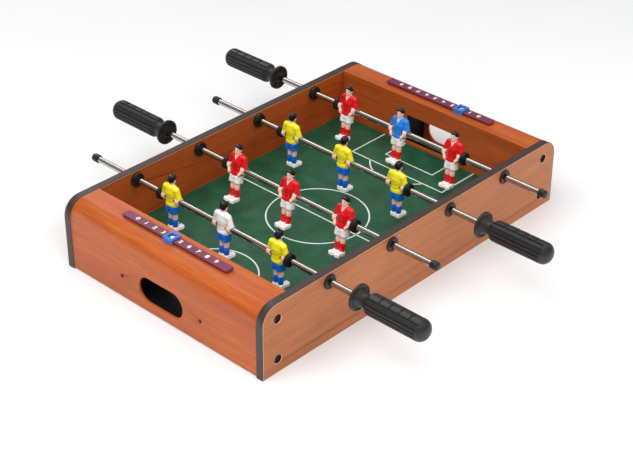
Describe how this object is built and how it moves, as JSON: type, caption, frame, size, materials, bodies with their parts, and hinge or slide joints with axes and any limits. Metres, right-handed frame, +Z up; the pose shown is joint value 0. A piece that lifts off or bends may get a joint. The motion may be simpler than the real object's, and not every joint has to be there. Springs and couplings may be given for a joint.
{
  "type": "table-top foosball table",
  "caption": "Small table-top foosball table: wooden frame, goals with ball returns, sliding and turning rods with players, score sliders.",
  "frame": {"origin": "middle of the table's footprint, on the surface it stands on", "axes": "+X from the near goal to the far goal, +Y across the table along the rods, +Z up"},
  "size_m": [0.485, 0.5837, 0.103],
  "materials": {
    "panel_wood": "satin cherry laminate",
    "cover_wood": "satin cherry laminate",
    "inner_wood": "satin cherry laminate",
    "plain_wood": "raw board",
    "edge_band": "matte edge band",
    "playfield": "satin printed board",
    "field_lines": "satin print",
    "black_plastic": "satin moulded",
    "screw": "black oxide",
    "score_rail": "satin moulded",
    "score_numbers": "satin print",
    "score_slider": "glossy moulded",
    "rod_chrome": "polished chrome",
    "bumper_rubber": "matte rubber",
    "handle_plastic": "satin moulded",
    "player_yellow": "glossy paint",
    "player_white": "glossy paint",
    "player_red": "glossy paint",
    "player_blue": "glossy paint"
  },
  "bodies": {
    "table": {"side_panel_front": "panel_wood", "side_panel_back": "panel_wood", "edge_band_front": "edge_band", "edge_band_back": "edge_band", "end_cover_near": "cover_wood", "end_cover_far": "cover_wood", "goal_wall_near": "inner_wood", "goal_wall_far": "inner_wood", "playfield": "playfield", "ball_tray_near": "black_plastic", "ball_tray_far": "black_plastic", "corner_cleat_near_front": "plain_wood", "corner_cleat_near_back": "plain_wood", "corner_cleat_far_front": "plain_wood", "corner_cleat_far_back": "plain_wood", "panel_screws_front": "screw", "panel_screws_back": "screw", "end_screws": "screw", "bush_1_front": "black_plastic", "bush_2_front": "black_plastic", "bush_3_front": "black_plastic", "bush_4_front": "black_plastic", "bush_1_back": "black_plastic", "bush_2_back": "black_plastic", "bush_3_back": "black_plastic", "bush_4_back": "black_plastic", "bush_nuts_front": "black_plastic", "bush_nuts_back": "black_plastic", "score_rail_near": "score_rail", "score_rail_far": "score_rail"},
    "score_counter_near": {"score_slider_near": "score_slider"},
    "score_counter_far": {"score_slider_far": "score_slider"},
    "rod_1_shaft": {"rod_1_tube": "rod_chrome", "rod_1_cap": "black_plastic", "rod_1_bumpers": "bumper_rubber"},
    "rod_1_team": {"rod_1_handle": "handle_plastic", "rod_1_player_left": "player_yellow", "rod_1_player_middle": "player_white", "rod_1_player_right": "player_yellow"},
    "rod_2_shaft": {"rod_2_tube": "rod_chrome", "rod_2_cap": "black_plastic", "rod_2_bumpers": "bumper_rubber"},
    "rod_2_team": {"rod_2_handle": "handle_plastic", "rod_2_player_left": "player_red", "rod_2_player_middle": "player_red", "rod_2_player_right": "player_red"},
    "rod_3_shaft": {"rod_3_tube": "rod_chrome", "rod_3_cap": "black_plastic", "rod_3_bumpers": "bumper_rubber"},
    "rod_3_team": {"rod_3_handle": "handle_plastic", "rod_3_player_left": "player_yellow", "rod_3_player_middle": "player_yellow", "rod_3_player_right": "player_yellow"},
    "rod_4_shaft": {"rod_4_tube": "rod_chrome", "rod_4_cap": "black_plastic", "rod_4_bumpers": "bumper_rubber"},
    "rod_4_team": {"rod_4_handle": "handle_plastic", "rod_4_player_left": "player_red", "rod_4_player_middle": "player_blue", "rod_4_player_right": "player_red"}
  },
  "joints": [
    {"name": "rod_1_slide", "type": "slide", "parent": "table", "child": "rod_1_shaft", "axis": [0, 1, 0], "range_m": [-0.0404, 0.0356]},
    {"name": "rod_1_spin", "type": "hinge", "parent": "rod_1_shaft", "child": "rod_1_team", "pos_m": [-0.1452, 0.0024, 0.074], "axis": [0, 1, 0], "continuous": true},
    {"name": "rod_2_slide", "type": "slide", "parent": "table", "child": "rod_2_shaft", "axis": [0, 1, 0], "range_m": [-0.0361, 0.0399]},
    {"name": "rod_2_spin", "type": "hinge", "parent": "rod_2_shaft", "child": "rod_2_team", "pos_m": [-0.0484, -0.0019, 0.074], "axis": [0, 1, 0], "continuous": true},
    {"name": "rod_3_slide", "type": "slide", "parent": "table", "child": "rod_3_shaft", "axis": [0, 1, 0], "range_m": [-0.0433, 0.0327]},
    {"name": "rod_3_spin", "type": "hinge", "parent": "rod_3_shaft", "child": "rod_3_team", "pos_m": [0.0484, 0.0053, 0.074], "axis": [0, 1, 0], "continuous": true},
    {"name": "rod_4_slide", "type": "slide", "parent": "table", "child": "rod_4_shaft", "axis": [0, 1, 0], "range_m": [-0.0415, 0.0345]},
    {"name": "rod_4_spin", "type": "hinge", "parent": "rod_4_shaft", "child": "rod_4_team", "pos_m": [0.1452, 0.0035, 0.074], "axis": [0, 1, 0], "continuous": true},
    {"name": "score_near_slide", "type": "slide", "parent": "table", "child": "score_counter_near", "axis": [0, 1, 0], "range_m": [-0.06665, 0.05332]},
    {"name": "score_far_slide", "type": "slide", "parent": "table", "child": "score_counter_far", "axis": [0, 1, 0], "range_m": [-0.02666, 0.09331]}
  ]
}
